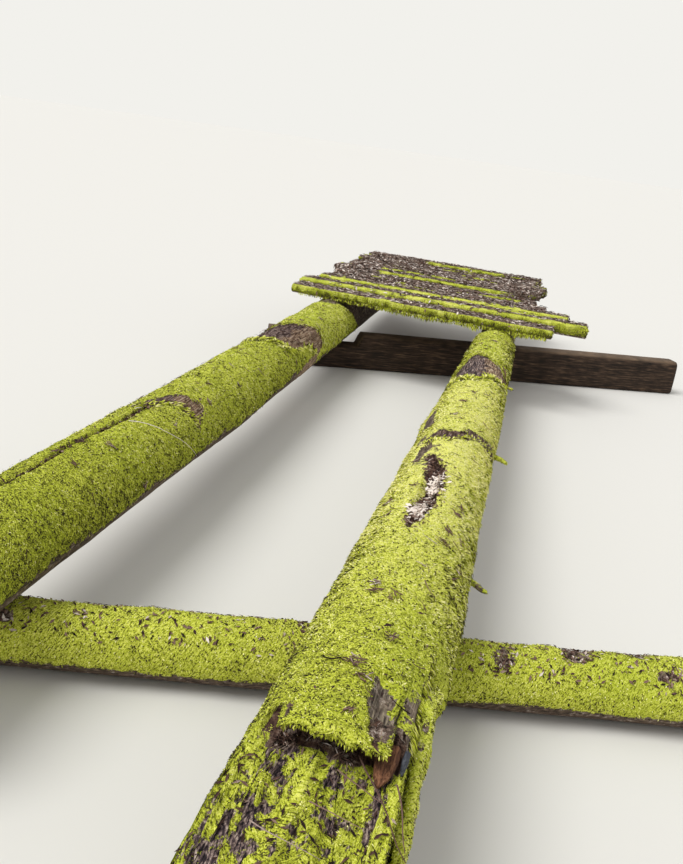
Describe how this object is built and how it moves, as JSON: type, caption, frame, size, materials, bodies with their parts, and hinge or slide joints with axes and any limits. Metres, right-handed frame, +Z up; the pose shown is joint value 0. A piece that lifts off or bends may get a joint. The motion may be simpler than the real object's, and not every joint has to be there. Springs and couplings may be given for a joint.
{
  "type": "log footbridge",
  "caption": "Derelict wooden footbridge: mossy stringer logs resting on sill timbers, with split deck slabs left across them at the far end.",
  "frame": {"origin": "on the ground, in the middle of the near sill's adzed underside, midway between the stringer logs", "axes": "+Y along the bridge from the near bank to the far bank, +X to the right, +Z up"},
  "size_m": [4.2127, 10.9, 0.8253],
  "materials": {
    "mossy_wood": "moss-grown bark and weathered wood",
    "hewn_wood": "hewn and weathered, dark and damp",
    "rotten_wood": "rotten and fibrous",
    "grey_wood": "bare and weathered grey"
  },
  "bodies": {
    "root": {"left_log": "mossy_wood", "right_log": "mossy_wood", "near_sill": "mossy_wood", "deck_slab_1": "mossy_wood", "deck_slab_2": "mossy_wood", "deck_slab_3": "mossy_wood", "deck_slab_4": "mossy_wood", "deck_slab_5": "mossy_wood", "deck_slab_6": "mossy_wood", "deck_slab_7": "mossy_wood", "deck_slab_8": "mossy_wood", "deck_slab_9": "mossy_wood", "deck_slab_10": "mossy_wood", "deck_slab_11": "mossy_wood", "butt_splinter": "mossy_wood", "low_branch_stub": "mossy_wood", "middle_branch_stub": "mossy_wood", "high_branch_stub": "mossy_wood", "far_sill": "hewn_wood", "heartwood_shard": "rotten_wood", "butt_chip": "grey_wood"}
  },
  "joints": []
}
